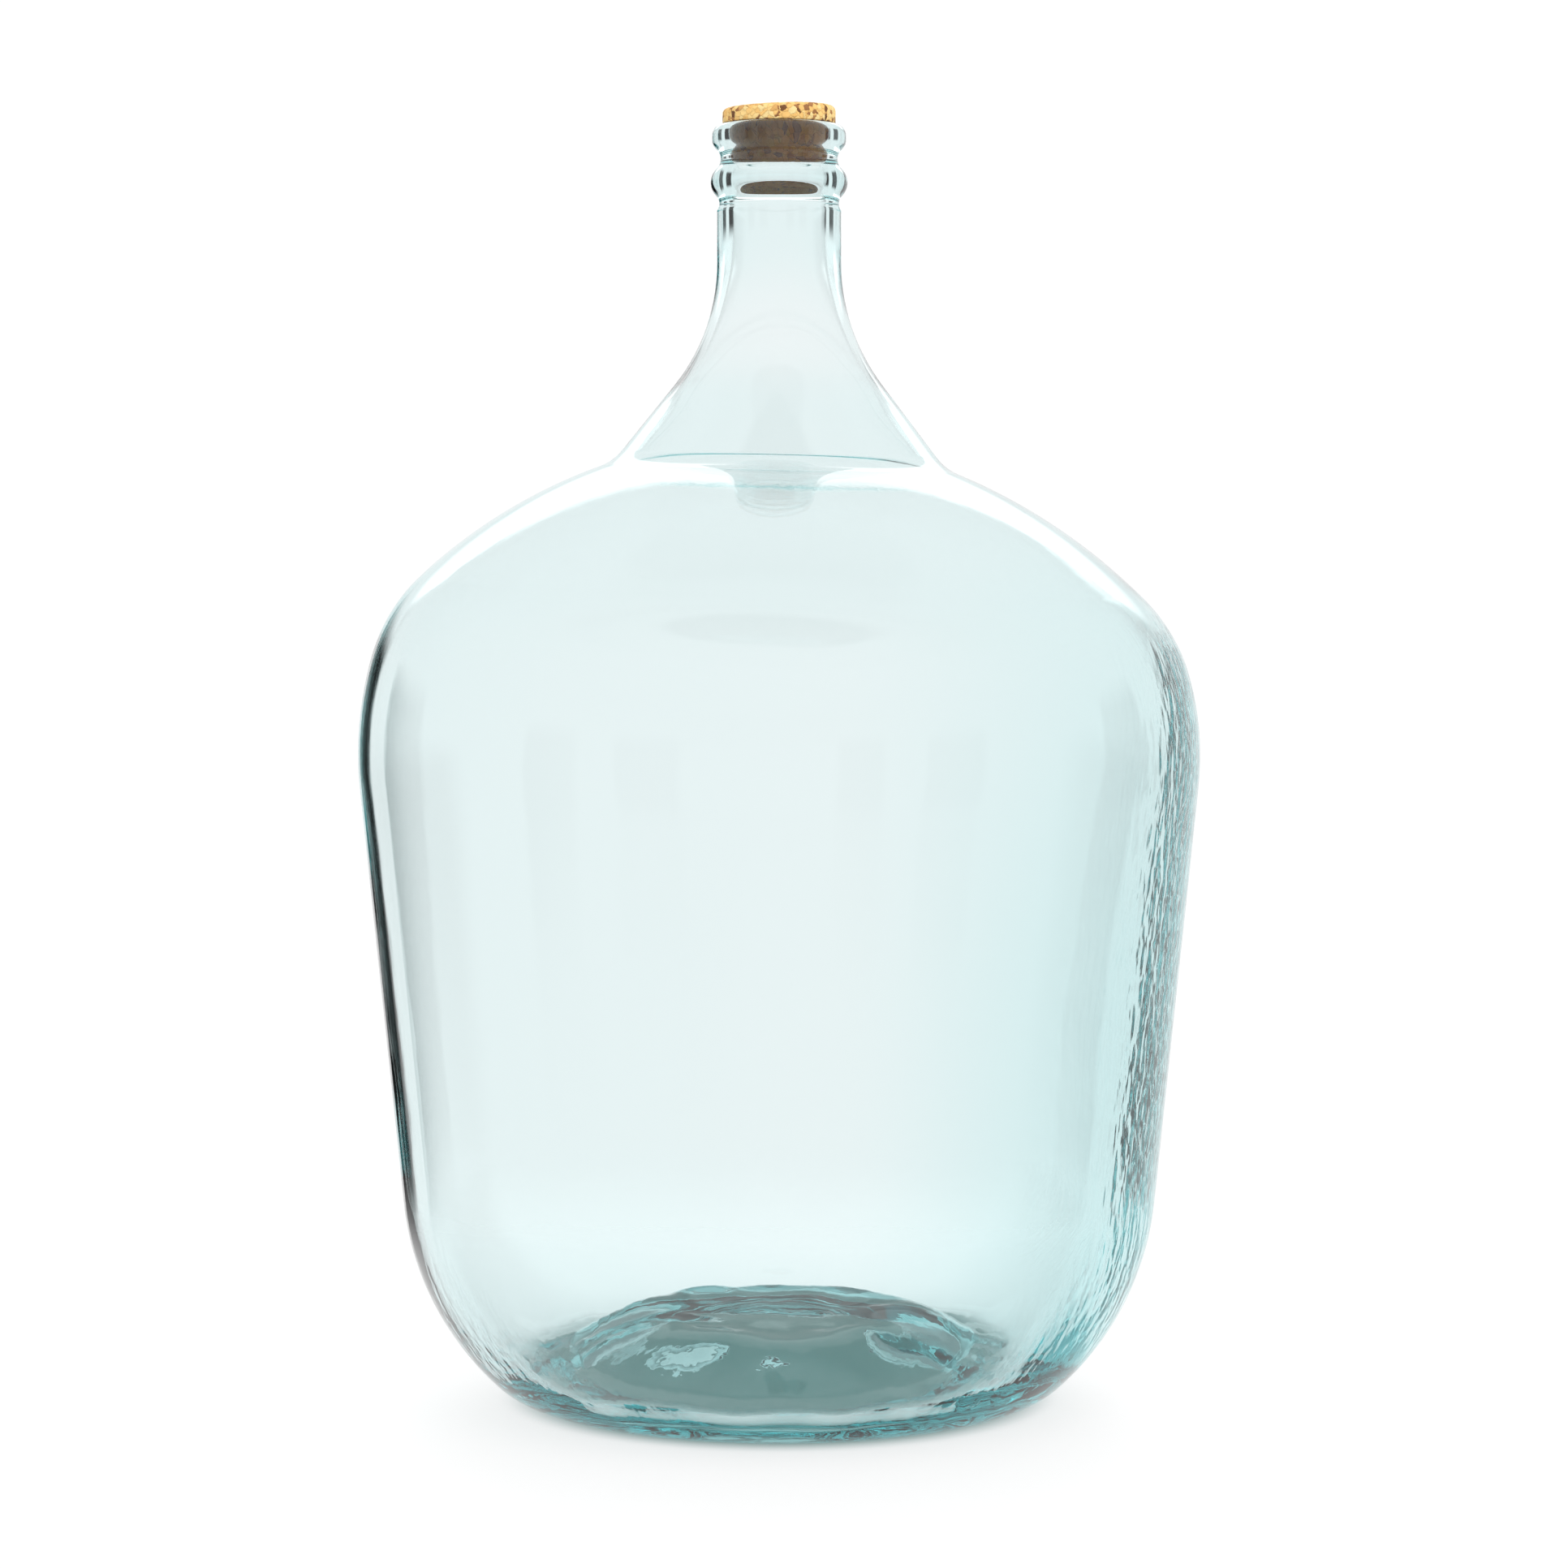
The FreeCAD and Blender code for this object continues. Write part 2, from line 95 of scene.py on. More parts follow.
# %% Helpers for a chain of arcs


def heading(degrees):
    """Unit vector in the half plane of radius and height."""
    angle = math.radians(degrees)
    return Vector((math.cos(angle), math.sin(angle)))


def towards(centre, other, radius):
    """The point of a circle about centre that faces another point."""
    return centre + (other - centre).normalized() * radius


def arc(centre, start, end, count, left=True):
    """Points from start to end about centre, without the last one."""
    radius = (start - centre).length
    first = math.atan2(start.y - centre.y, start.x - centre.x)
    last = math.atan2(end.y - centre.y, end.x - centre.x)
    turn = (last - first) % math.tau if left else -((first - last) % math.tau)
    angles = [first + turn * i / count for i in range(count)]
    return [centre + radius * Vector((math.cos(a), math.sin(a))) for a in angles]


def line(start, end, count):
    """Points of a straight run, without the last one."""
    return [start.lerp(end, i / count) for i in range(count)]


def below(centre, reach, across):
    """Centre of the next circle down a stack, reach away, at radius across."""
    return Vector((across, centre.y - math.sqrt(reach**2 - (across - centre.x) ** 2)))


print("a quarter circle of 4 runs:", len(arc(Vector((0, 0)), Vector((1, 0)), Vector((0, 1)), 4)), "points")

# %% Sizes of the bottle's section, in metres
ring_in, ring_out = 95 * MM, 104 * MM
punt_height, rim_arc = 28 * MM, 14 * MM
toe_arc, heel_arc, side_lean = 34 * MM, 124 * MM, 5.7
belly = Vector((43 * MM, 284.5 * MM))
belly_arc = high.x - belly.x
shoulder_rise, shoulder_arc = 17.8 * MM, 77.5 * MM
throat_arc, flare_lean, slope_arc = 87 * MM, 38.0, 22 * MM
crown_arc, crown_lean = 240 * MM, 46.0
neck_radius = 27.2 * MM
throat = Vector((neck_radius + throat_arc, lip - 60.1 * MM))
side_wall, base_wall = 6 * MM, 9 * MM
print("belly arc", round(belly_arc / MM, 1), "mm")

# %% [markdown]
# ## The body's outside
# From the middle of the push-up under the base (the punt) the outline runs out to the ring the
# bottle stands on, round the heel, up the leaning side, over the shoulder and up the cone into
# the neck.

# %% Draw the outside from the punt to the neck
rise = rim_arc - punt_height
punt_arc = (ring_in**2 + rise**2 - rim_arc**2) / (2 * punt_height)
punt = Vector((0, punt_height - punt_arc))
rim = Vector((ring_in, rim_arc))
toe = Vector((ring_out, toe_arc))
side_out, side_up = heading(-side_lean), heading(90 - side_lean)


def heel_centre(wall, toe_radius, heel_radius):
    """Centre of the heel arc, which touches the side and holds the toe."""
    start = belly + side_out * (belly_arc - wall - heel_radius) - toe
    along = start.dot(side_up)
    reach = heel_radius - toe_radius
    return toe + start + side_up * (math.sqrt(along**2 - start.dot(start) + reach**2) - along)


heel = heel_centre(0, toe_arc, heel_arc)
across = math.sqrt((belly_arc - shoulder_arc) ** 2 - shoulder_rise**2)
shoulder = belly + Vector((across, shoulder_rise))
flare_out, flare_down = heading(flare_lean), heading(flare_lean - 90)
flare_top = throat - flare_out * throat_arc
crown = shoulder - heading(crown_lean) * (crown_arc - shoulder_arc)
offset = flare_top + flare_out * slope_arc - crown
along = offset.dot(flare_down)
reach = math.sqrt(along**2 - offset.dot(offset) + (crown_arc + slope_arc) ** 2)
slope = crown + offset - flare_down * (along + reach)
flare_foot = slope - flare_out * slope_arc
shoulder_end, crown_top = shoulder + heading(crown_lean) * shoulder_arc, towards(crown, slope, crown_arc)
neck_foot = Vector((neck_radius, throat.y))

punt_end, toe_end = towards(punt, rim, punt_arc), towards(heel, toe, heel_arc)
belly_end = towards(belly, shoulder, belly_arc)
outside = (
    arc(punt, Vector((0, punt_height)), punt_end, 16, left=False)
    + arc(rim, punt_end, Vector((ring_in, 0)), 6)
    + line(Vector((ring_in, 0)), Vector((ring_out, 0)), 3)
    + arc(toe, Vector((ring_out, 0)), toe_end, 8)
    + arc(heel, toe_end, heel + side_out * heel_arc, 22)
    + line(heel + side_out * heel_arc, belly + side_out * belly_arc, 28)
    + arc(belly, belly + side_out * belly_arc, belly_end, 10)
    + arc(shoulder, belly_end, shoulder_end, 20)
    + arc(crown, shoulder_end, crown_top, 20)
    + arc(slope, crown_top, flare_foot, 10, left=False)
    + line(flare_foot, flare_top, 4)
    + arc(throat, flare_top, neck_foot, 14, left=False)
)
print("outside of the body:", len(outside), "points")

# %% [markdown]
# ## The ringed mouth
# The mouth was shaped in a separate tool, which left a fine step under it.  It has two beads with
# a groove between them and a flat lip for the cork.

# %% Draw the neck, the beads and the lip
bead, lower_bead = 29.3 * MM, 30.0 * MM
upper_arc, groove_arc, lower_arc, waist_arc = 5 * MM, 6 * MM, 8 * MM, 5 * MM
groove_depth, waist_depth = 3.7 * MM, 3.8 * MM
mouth, mouth_edge, band = 22.2 * MM, 1 * MM, 2 * MM
lip_edge = Vector((bead - upper_arc, lip - upper_arc))
upper = lip_edge - Vector((0, band))
groove = below(upper, upper_arc + groove_arc, bead - groove_depth + groove_arc)
lower = below(groove, groove_arc + lower_arc, lower_bead - lower_arc)
waist = below(lower, lower_arc + waist_arc, lower_bead - waist_depth + waist_arc)
step = below(waist, waist_arc, neck_radius)
lower_start, lower_end = towards(lower, waist, lower_arc), towards(lower, groove, lower_arc)
upper_start = towards(upper, groove, upper_arc)
land, mouth_top = Vector((upper.x, lip)), Vector((mouth + mouth_edge, lip))
mouth_foot = Vector((mouth, lip - mouth_edge))
hold = 0.25 * MM
finish = (
    line(neck_foot, step - Vector((0, hold)), 6)
    + line(step - Vector((0, hold)), step, 1)
    + arc(waist, step, lower_start, 7, left=False)
    + arc(lower, lower_start, lower_end, 14)
    + arc(groove, lower_end, upper_start, 10, left=False)
    + arc(upper, upper_start, Vector((bead, upper.y)), 7)
    + line(Vector((bead, upper.y)), Vector((bead, lip_edge.y)), 2)
    + arc(lip_edge, Vector((bead, lip_edge.y)), land, 8)
    + line(land, mouth_top, 3)
    + arc(mouth_top - Vector((0, mouth_edge)), mouth_top, mouth_foot, 5)
)
print("mouth:", len(finish), "points")

# %% [markdown]
# ## The inside of the wall
# Inside, the tapered bore opens into the cone, and from there the wall keeps an even thickness
# down to the heel.  The floor and the punt are thicker, because glass gathers there.

# %% Draw the inside from the mouth to the top of the punt
bore_end = Vector((20.3 * MM, lip - 35 * MM))
bore_side = (mouth_foot - bore_end).normalized()
bore_out = Vector((bore_side.y, -bore_side.x))
inner_flare = flare_top - flare_out * side_wall
inner_throat_arc = flare_out.dot(bore_end - inner_flare) / (1 - flare_out.dot(bore_out))
inner_throat = bore_end + bore_out * inner_throat_arc
inner_slope_arc = slope_arc + side_wall
inner_flare_top = inner_throat - flare_out * inner_throat_arc
inner_flare_foot = slope - flare_out * inner_slope_arc
inner_crown_top = towards(crown, slope, crown_arc - side_wall)
inner_shoulder_arc, inner_belly_arc = shoulder_arc - side_wall, belly_arc - side_wall
inner_heel_arc, inner_toe_arc = heel_arc - side_wall, toe_arc - base_wall
inner_heel = heel_centre(side_wall, inner_toe_arc, inner_heel_arc)
shoulder_top = shoulder + heading(crown_lean) * inner_shoulder_arc
belly_top = towards(belly, shoulder, inner_belly_arc)
side_foot, heel_foot = inner_heel + side_out * inner_heel_arc, towards(inner_heel, toe, inner_heel_arc)
valley_arc, inner_punt_arc = 10 * MM, punt_arc + base_wall
valley_y = base_wall + valley_arc
valley_x = math.sqrt((inner_punt_arc + valley_arc) ** 2 - (valley_y - punt.y) ** 2)
valley = Vector((valley_x, valley_y))
valley_end, punt_top = towards(punt, valley, inner_punt_arc), Vector((0, punt_height + base_wall))
floor_end, floor_start = Vector((valley_x, base_wall)), Vector((toe.x, base_wall))
inside = (
    line(mouth_foot, bore_end, 10)
    + arc(inner_throat, bore_end, inner_flare_top, 20)
    + line(inner_flare_top, inner_flare_foot, 3)
    + arc(slope, inner_flare_foot, inner_crown_top, 10)
    + arc(crown, inner_crown_top, shoulder_top, 20, left=False)
    + arc(shoulder, shoulder_top, belly_top, 20, left=False)
    + arc(belly, belly_top, belly + side_out * inner_belly_arc, 10, left=False)
    + line(belly + side_out * inner_belly_arc, side_foot, 30)
    + arc(inner_heel, side_foot, heel_foot, 24, left=False)
    + arc(toe, heel_foot, floor_start, 8, left=False)
    + line(floor_start, floor_end, 2)
    + arc(valley, floor_end, valley_end, 7, left=False)
    + arc(punt, valley_end, punt_top, 18)
    + [punt_top]
)
section = outside + finish + inside
print("whole section:", len(section), "points")

# %% [markdown]
# ## Turning the section into a wall
# A modeller would spin the section with the Screw modifier or bmesh.  Geometry Nodes does the same
# and keeps the number of turns and the height of the waves as named inputs: a grid gets one column
# per turn and one row per point of the section, and each point is then moved to its place on the
# wall.  The same tree turns the cork.

# %% Helpers for building node trees


def put(tree, kind, settings=None, **inputs):
    """A new node, with its settings and the values or links of its inputs."""
    node = tree.nodes.new(kind)
    for name, value in (settings or {}).items():
        setattr(node, name, value)
    for name, value in inputs.items():
        key = int(name[1:]) if name[0] == "i" and name[1:].isdigit() else name.replace("_", " ")
        if isinstance(value, bpy.types.NodeSocket):
            tree.links.new(value, node.inputs[key])
        else:
            node.inputs[key].default_value = value
    return node


def maths(tree, operation, first, second=0.5, third=0.5):
    """The result of one Math node."""
    node = put(tree, "ShaderNodeMath", {"operation": operation}, i0=first, i1=second, i2=third)
    return node.outputs[0]


def ramp(tree, value, start, stop, to_min=0.0, to_max=1.0):
    """A smooth step of a value from start to stop, in either direction."""
    kind = {"interpolation_type": "SMOOTHSTEP"}
    low_end, high_end = (start, stop) if start < stop else (stop, start)
    bottom, top = (to_min, to_max) if start < stop else (to_max, to_min)
    node = put(tree, "ShaderNodeMapRange", kind, Value=value, From_Min=low_end, From_Max=high_end,
               To_Min=bottom, To_Max=top)
    return node.outputs["Result"]


print("node helpers ready")

# %% The tree that turns a section about the axis


def open_turned_tree(name, sizes):
    """A node group that turns a section and hands on what its waves need."""
    tree = bpy.data.node_groups.new(name, "GeometryNodeTree")
    face = tree.interface
    face.new_socket("Geometry", in_out="INPUT", socket_type="NodeSocketGeometry")
    for label, kind in (("Turns", "NodeSocketInt"), ("Rows", "NodeSocketInt")):
        face.new_socket(label, in_out="INPUT", socket_type=kind)
    for label in sizes:
        face.new_socket(label, in_out="INPUT", socket_type="NodeSocketFloat")
    face.new_socket("Material", in_out="INPUT", socket_type="NodeSocketMaterial")
    face.new_socket("Geometry", in_out="OUTPUT", socket_type="NodeSocketGeometry")
    given = tree.nodes.new("NodeGroupInput").outputs

    columns = maths(tree, "ADD", given["Turns"], 1)
    grid = put(tree, "GeometryNodeMeshGrid", Vertices_X=columns, Vertices_Y=given["Rows"])
    index = tree.nodes.new("GeometryNodeInputIndex").outputs[0]
    row = maths(tree, "FLOORED_MODULO", index, given["Rows"])
    column = maths(tree, "FLOOR", maths(tree, "DIVIDE", index, given["Rows"]))
    angle = maths(tree, "MULTIPLY", maths(tree, "DIVIDE", column, given["Turns"]), math.tau)

    place = tree.nodes.new("GeometryNodeInputPosition").outputs[0]
    sampled = put(tree, "GeometryNodeSampleIndex", {"data_type": "FLOAT_VECTOR"},
                  Geometry=given["Geometry"], Value=place, Index=row)
    parts = put(tree, "ShaderNodeSeparateXYZ", Vector=sampled.outputs[0]).outputs
    x = maths(tree, "MULTIPLY", parts[0], maths(tree, "COSINE", angle))
    y = maths(tree, "MULTIPLY", parts[0], maths(tree, "SINE", angle))
    turned = put(tree, "ShaderNodeCombineXYZ", X=x, Y=y, Z=parts[2]).outputs[0]
    wall = put(tree, "GeometryNodeSetPosition", Geometry=grid.outputs["Mesh"], Position=turned)

    mark = put(tree, "GeometryNodeInputNamedAttribute", Name="inner").outputs[0]
    marked = put(tree, "GeometryNodeSampleIndex", {"data_type": "FLOAT"},
                 Geometry=given["Geometry"], Value=mark, Index=row)
    stored = put(tree, "GeometryNodeStoreNamedAttribute", {"data_type": "FLOAT"},
                 Geometry=wall.outputs[0], Name="inner", Value=marked.outputs[0])
    joined = put(tree, "GeometryNodeMergeByDistance", Geometry=stored.outputs[0], Distance=0.01 * MM)
    return tree, given, joined.outputs[0], mark


def close_turned_tree(tree, given, geometry):
    """Smooth faces, real geometry and the material: every tree's last steps."""
    smooth = put(tree, "GeometryNodeSetShadeSmooth", Geometry=geometry).outputs[0]
    real = put(tree, "GeometryNodeRealizeInstances", Geometry=smooth).outputs[0]
    done = put(tree, "GeometryNodeSetMaterial", Geometry=real, Material=given["Material"])
    out = tree.nodes.new("NodeGroupOutput")
    tree.links.new(done.outputs[0], out.inputs[0])


def shifted(tree, geometry, offset):
    """Geometry with each point moved by an offset vector."""
    return put(tree, "GeometryNodeSetPosition", Geometry=geometry, Offset=offset).outputs[0]


print("turning tree ready")

# %% Run a turning tree on a section


def turn_piece(name, points, inner_from, tree, turns, values, material):
    """The section as a mesh of points, turned by the tree into a plain mesh."""
    mesh = bpy.data.meshes.new(name + "_section")
    mesh.from_pydata([(p.x, 0.0, p.y) for p in points], [(i, i + 1) for i in range(len(points) - 1)], [])
    inner = mesh.attributes.new("inner", "FLOAT", "POINT")
    inner.data.foreach_set("value", [float(i >= inner_from) for i in range(len(points))])
    source = bpy.data.objects.new(name + "_section", mesh)
    bpy.context.scene.collection.objects.link(source)
    modifier = source.modifiers.new("turned", "NODES")
    modifier.node_group = tree
    keys = {s.name: s.identifier for s in tree.interface.items_tree if s.in_out == "INPUT"}
    for label, value in dict(values, Turns=turns, Rows=len(points), Material=material).items():
        modifier[keys[label]] = value
    graph = bpy.context.evaluated_depsgraph_get()
    plain = bpy.data.meshes.new_from_object(source.evaluated_get(graph))
    plain.name = name
    bpy.data.objects.remove(source)
    piece = bpy.data.objects.new(name, plain)
    bpy.context.scene.collection.objects.link(piece)
    triangles = sum(len(p.vertices) - 2 for p in plain.polygons)
    print(name, len(plain.vertices), "points,", triangles, "triangles")
    return piece


# %% [markdown]
# ## Waves in blown glass
# The mould smooths the outside, so the waves are nearly all on the inside: slow ones a hand wide,
# shorter ones over them, and a side that ran thicker than the other.  They stop below the neck,
# where the tool and the cork need a true bore.  A displaced grid in a sculpting tool would do too,
# but a noise with a named height and a fixed seed can be changed and gives the same bottle twice.

# %% A wave


def wave(tree, place, size, height, shape, seed):
    """A smooth noise of the given size and height, centred on zero."""
    stretched = put(tree, "ShaderNodeVectorMath", {"operation": "MULTIPLY"}, i0=place, i1=shape)
    noise = put(tree, "ShaderNodeTexNoise", {"noise_dimensions": "4D"}, Vector=stretched.outputs[0],
                W=seed, Scale=1 / size, Detail=1.0, Roughness=0.4)
    return maths(tree, "MULTIPLY", maths(tree, "SUBTRACT", noise.outputs[0], 0.5), height)


def product(tree, *values):
    """The product of several values."""
    result = values[0]
    for value in values[1:]:
        result = maths(tree, "MULTIPLY", result, value)
    return result


print("wave helper ready")

# %% [markdown]
# ## A shoulder that sank
# While the glass was hot the shoulder sank a little on the right and a little behind, and rose by
# as much on the other side.  The shift is a share of the distance from the axis, so it is nothing
# at the axis, and it fades out on the body below and the neck above.

# %% The tree of the glass wall and its sunk shoulder
wave_names = ["Slow Wave", "Short Wave", "Outside Wave", "Thick Side", "Thick Base", "Base Wave"]
glass_tree, given, wall, inner_mark = open_turned_tree(
    "blown wall", wave_names + ["Sunk Shoulder", "Seed"])
place = glass_tree.nodes.new("GeometryNodeInputPosition").outputs[0]
axes = put(glass_tree, "ShaderNodeSeparateXYZ", Vector=place).outputs
neck_end, body_start = lip - 0.12, lip - 0.24
body_share = ramp(glass_tree, axes[2], neck_end, body_start)
rightward = maths(glass_tree, "DIVIDE", axes[0], high.x)
backward = maths(glass_tree, "DIVIDE", axes[1], high.x)
sunk_side = maths(glass_tree, "MULTIPLY_ADD", backward, 0.2, rightward)
shoulder_share = product(glass_tree, ramp(glass_tree, axes[2], 0.28, 0.37),
                         ramp(glass_tree, axes[2], lip - 0.08, 0.40))
sink = product(glass_tree, shoulder_share, sunk_side,
               maths(glass_tree, "MULTIPLY", given["Sunk Shoulder"], -1.0))
wall = shifted(glass_tree, wall, put(glass_tree, "ShaderNodeCombineXYZ", Z=sink).outputs[0])
print("sunk shoulder:", len(glass_tree.nodes), "nodes")

# %% [markdown]
# ## The floor inside
# Glass gathers as a ring round the push-up, and the tool that pushed it up left the floor uneven.
# Both only move the inside, and only near the floor.

# %% The ring and the folds of the floor
flat_place = put(glass_tree, "ShaderNodeVectorMath", {"operation": "MULTIPLY"}, i0=place, i1=(1, 1, 0))
from_axis = put(glass_tree, "ShaderNodeVectorMath", {"operation": "LENGTH"}, i0=flat_place.outputs[0])
from_axis = from_axis.outputs["Value"]
ring = product(glass_tree, ramp(glass_tree, from_axis, 0.03, 0.07),
               ramp(glass_tree, from_axis, 0.13, 0.09))
dip = ramp(glass_tree, from_axis, 0.06, 0.0, 0.0, 0.7)
heap = product(glass_tree, maths(glass_tree, "SUBTRACT", ring, dip), given["Thick Base"])
folds = wave(glass_tree, place, 34 * MM, given["Base Wave"], (1, 1, 0), given["Seed"])
folds = product(glass_tree, folds, ramp(glass_tree, from_axis, 0.14, 0.10))
near_floor = product(glass_tree, inner_mark, ramp(glass_tree, axes[2], 0.07, 0.05))
raised = product(glass_tree, maths(glass_tree, "ADD", heap, folds), near_floor)
wall = shifted(glass_tree, wall, put(glass_tree, "ShaderNodeCombineXYZ", Z=raised).outputs[0])
print("floor:", len(glass_tree.nodes), "nodes")

# %% The waves of the side and the side that ran thick
slow = wave(glass_tree, place, 90 * MM, given["Slow Wave"], (1, 1, 0.6), given["Seed"])
short = wave(glass_tree, place, 26 * MM, given["Short Wave"], (1, 1, 0.8), given["Seed"])
thick = product(glass_tree, ramp(glass_tree, rightward, 0.1, 0.95), given["Thick Side"],
                ramp(glass_tree, axes[2], 0.40, 0.12, 0.3, 1.0))
inner_wave = maths(glass_tree, "ADD", maths(glass_tree, "ADD", slow, short), thick)
outer_wave = wave(glass_tree, place, 70 * MM, given["Outside Wave"], (1, 1, 0.6), 7.0)
half_height = maths(glass_tree, "MULTIPLY", given["Outside Wave"], 0.5)
outer_wave = maths(glass_tree, "SUBTRACT", outer_wave, half_height)
both = put(glass_tree, "ShaderNodeMix", Factor=inner_mark, A=outer_wave, B=inner_wave).outputs[0]
depth = product(glass_tree, both, body_share)
normal = glass_tree.nodes.new("GeometryNodeInputNormal").outputs[0]
push = put(glass_tree, "ShaderNodeVectorMath", {"operation": "SCALE"}, i0=normal, Scale=depth)
close_turned_tree(glass_tree, given, shifted(glass_tree, wall, push.outputs[0]))
print("blown wall tree:", len(glass_tree.nodes), "nodes")

# %% [markdown]
# ## The glass
# Old bottle glass is clear with a little iron in it.  A surface colour would tint it evenly; the
# real tint grows with the depth of glass, so the colour is an absorption inside the wall and the
# surface itself is colourless.  Lamps pass it by a transparent shadow, which keeps the floor clean.
# Down the right and round the foot the inside is drawn into fine upright ripples, too small for
# the mesh, so they are a bump.

# %% The glass material
glass = bpy.data.materials.new("aqua_bottle_glass")
glass.use_nodes = True
glass.node_tree.nodes.clear()
tree = glass.node_tree
spot = put(tree, "ShaderNodeTexCoord").outputs["Object"]
axes = put(tree, "ShaderNodeSeparateXYZ", Vector=spot).outputs
inner = put(tree, "ShaderNodeAttribute", {"attribute_name": "inner"}).outputs["Fac"]
drawn_out = put(tree, "ShaderNodeVectorMath", {"operation": "MULTIPLY"}, i0=spot, i1=(1, 1, 0.35))
ripple = put(tree, "ShaderNodeTexNoise", Vector=drawn_out.outputs[0], Scale=180.0, Detail=1.5,
             Roughness=0.5).outputs[0]
leaning = maths(tree, "MULTIPLY_ADD", axes[2], -0.1, axes[0])
right_side = product(tree, ramp(tree, leaning, 0.116, 0.130), ramp(tree, axes[2], 0.40, 0.24, 0.15, 1.0))
foot = ramp(tree, axes[2], 0.09, 0.03, 0.02, 0.15)
lumpy = product(tree, maths(tree, "MAXIMUM", right_side, foot), inner, ripple)
waved = put(tree, "ShaderNodeBump", Height=lumpy, Distance=0.6 * MM, Strength=1.0).outputs[0]
surface = put(tree, "ShaderNodeBsdfPrincipled", Base_Color=(1, 1, 1, 1), Roughness=0.0, IOR=1.5,
              Transmission_Weight=1.0, Normal=waved)
lamp_ray = tree.nodes.new("ShaderNodeLightPath").outputs["Is Shadow Ray"]
clear = put(tree, "ShaderNodeBsdfTransparent", Color=(0.93, 0.96, 0.96, 1))
mixed = put(tree, "ShaderNodeMixShader", i0=lamp_ray, i1=surface.outputs[0], i2=clear.outputs[0])
tint = put(tree, "ShaderNodeVolumeAbsorption", Color=(0.1, 0.73, 0.75, 1), Density=15.0)
out = tree.nodes.new("ShaderNodeOutputMaterial")
tree.links.new(mixed.outputs[0], out.inputs["Surface"])
tree.links.new(tint.outputs[0], out.inputs["Volume"])
print("glass:", len(tree.nodes), "nodes")

# %% Make the bottle
waves = {"Slow Wave": 1.0 * MM, "Short Wave": 0.2 * MM, "Outside Wave": 0.3 * MM,
         "Thick Side": 8.0 * MM, "Thick Base": 8.0 * MM, "Base Wave": 6.0 * MM,
         "Sunk Shoulder": 4.5 * MM, "Seed": 3.0}
bottle_turns = 232
inner_from = len(outside) + len(finish)
bottle = turn_piece("blown_bottle", section, inner_from, glass_tree, bottle_turns, waves, glass)
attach(bottle, "bottle")
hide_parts("glass_bottle")

# %% [markdown]
# ## Pressed cork
# The stopper is pressed from cork granules the size of rice and smaller, glued and then turned.
# Each granule has its own brown, dark specks of bark lie between them, and the cut edges crumble.

# %% The cork material
cork = bpy.data.materials.new("pressed_cork")
cork.use_nodes = True
tree = cork.node_tree
surface = tree.nodes["Principled BSDF"]
place_of = put(tree, "ShaderNodeTexCoord").outputs["Object"]
warp = put(tree, "ShaderNodeTexNoise", Vector=place_of, Scale=500.0, Detail=2.0).outputs["Color"]
bent = put(tree, "ShaderNodeMix", {"data_type": "VECTOR"})
tree.links.new(place_of, bent.inputs[4])
tree.links.new(warp, bent.inputs[5])
bent.inputs[0].default_value = 0.0012
granules = 420.0
grain = put(tree, "ShaderNodeTexVoronoi", Vector=bent.outputs[1], Scale=granules, Randomness=1.0)
tone = put(tree, "ShaderNodeSeparateColor", Color=grain.outputs["Color"]).outputs[0]
browns = tree.nodes.new("ShaderNodeValToRGB")
browns.color_ramp.elements[0].color = (0.12, 0.045, 0.015, 1)
browns.color_ramp.elements[1].color = (1.0, 0.78, 0.36, 1)
for at, colour in (
    (0.1, (0.45, 0.20, 0.07, 1)),
    (0.25, (0.92, 0.54, 0.17, 1)),
    (0.7, (1.0, 0.66, 0.24, 1)),
):
    browns.color_ramp.elements.new(at).color = colour
tree.links.new(tone, browns.inputs[0])
# Below the lip the shank is multiplied darker and browner: painted shade for the part of the cork held in
# the glass neck.
height = put(tree, "ShaderNodeSeparateXYZ", Vector=place_of).outputs[2]
shank_painted_shade = put(tree, "ShaderNodeMix", {"data_type": "RGBA", "blend_type": "MULTIPLY"})
tree.links.new(ramp(tree, height, lip + 1 * MM, lip - 1 * MM), shank_painted_shade.inputs[0])
tree.links.new(browns.outputs[0], shank_painted_shade.inputs[6])
shank_painted_shade.inputs[7].default_value = (0.7, 0.38, 0.10, 1)
tree.links.new(shank_painted_shade.outputs[2], surface.inputs["Base Color"])
surface.inputs["Roughness"].default_value = 0.85
edges = put(tree, "ShaderNodeTexVoronoi", {"feature": "DISTANCE_TO_EDGE"},
            Vector=bent.outputs[1], Scale=granules)
dent = ramp(tree, edges.outputs["Distance"], 0.0, 0.12)
bump = put(tree, "ShaderNodeBump", Height=dent, Distance=0.3 * MM, Strength=0.8)
tree.links.new(bump.outputs[0], surface.inputs["Normal"])
print("cork:", len(tree.nodes), "nodes")

